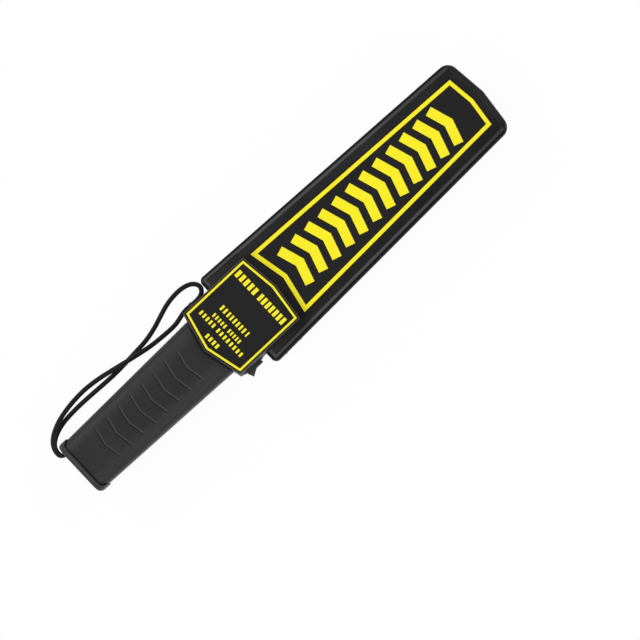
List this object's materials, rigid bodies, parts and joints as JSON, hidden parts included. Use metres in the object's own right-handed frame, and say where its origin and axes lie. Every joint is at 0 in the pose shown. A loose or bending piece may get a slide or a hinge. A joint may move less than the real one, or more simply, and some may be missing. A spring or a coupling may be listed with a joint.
{
  "type": "security metal detector wand",
  "caption": "Hand-held metal detector wand with a long flat search paddle, thick neck, stepped grip, side rocker switch and a looped wrist cord.",
  "frame": {"origin": "mid length and mid width of the wand, on the flat back of the neck that it lies on", "axes": "+X from the grip's end cap to the paddle's tip, +Y to the side of the wrist cord and the slide switch, +Z out of the front face"},
  "size_m": [0.4159, 0.0923, 0.045],
  "materials": {
    "housing": "fine moulded texture, charcoal",
    "cap": "fine moulded texture, charcoal",
    "label": "printed sheet, satin, with a bright yellow frame",
    "cord": "braided cord, black",
    "switch": "smooth black",
    "red_lens": "clear tinted",
    "green_lens": "clear tinted",
    "tinned_metal": "tinned",
    "brass_parts": "drawn",
    "screw_steel": "zinc plated",
    "board": "solder mask",
    "black_component": "moulded",
    "blue_component": "moulded",
    "battery_can": "plain sleeve",
    "foam": "open foam",
    "motor_can": "drawn can",
    "wire": "wire sleeve",
    "former": "natural",
    "winding": "enamelled copper wire"
  },
  "bodies": {
    "case": {"front_shell": "housing", "back_shell": "housing", "front_paddle_label": "label", "back_paddle_label": "label", "front_neck_label": "label", "back_neck_label": "label", "rocker_frame": "switch", "rocker_terminals": "brass_parts", "slide_switch_body": "tinned_metal", "earphone_jack": "black_component", "alarm_lamp": "red_lens", "power_lamp": "green_lens", "lamp_legs": "tinned_metal", "circuit_board": "board", "board_screws": "screw_steel", "control_chip": "black_component", "capacitors": "black_component", "sensitivity_trimmer": "blue_component", "buzzer": "black_component", "battery": "battery_can", "battery_snap": "black_component", "battery_leads": "wire", "vibration_motor": "motor_can", "motor_leads": "wire", "rocker_leads": "wire", "coil_former": "former", "search_coil": "winding", "coil_leads": "wire", "case_screws": "screw_steel"},
    "cap": {"end_cap": "cap", "wrist_cord": "cord", "cord_knot": "cord", "foam_pad": "foam"},
    "rocker": {"rocker_cap": "switch"},
    "mode_knob": {"slide_switch_knob": "switch"},
    "vibrator": {"motor_shaft": "screw_steel", "motor_weight": "brass_parts"}
  },
  "joints": [
    {"name": "end_cap_pull", "type": "slide", "parent": "case", "child": "cap", "axis": [-1, 0, 0], "range_m": [0, 0.025]},
    {"name": "power_rocker", "type": "hinge", "parent": "case", "child": "rocker", "pos_m": [-0.0584, -0.0324, 0.0225], "axis": [0, 0, -1], "range_deg": [0, 30]},
    {"name": "mode_slide", "type": "slide", "parent": "case", "child": "mode_knob", "axis": [1, 0, 0], "range_m": [0, 0.002]},
    {"name": "vibrator_spin", "type": "hinge", "parent": "case", "child": "vibrator", "pos_m": [-0.1, 0, 0.0145], "axis": [1, 0, 0], "continuous": true}
  ]
}
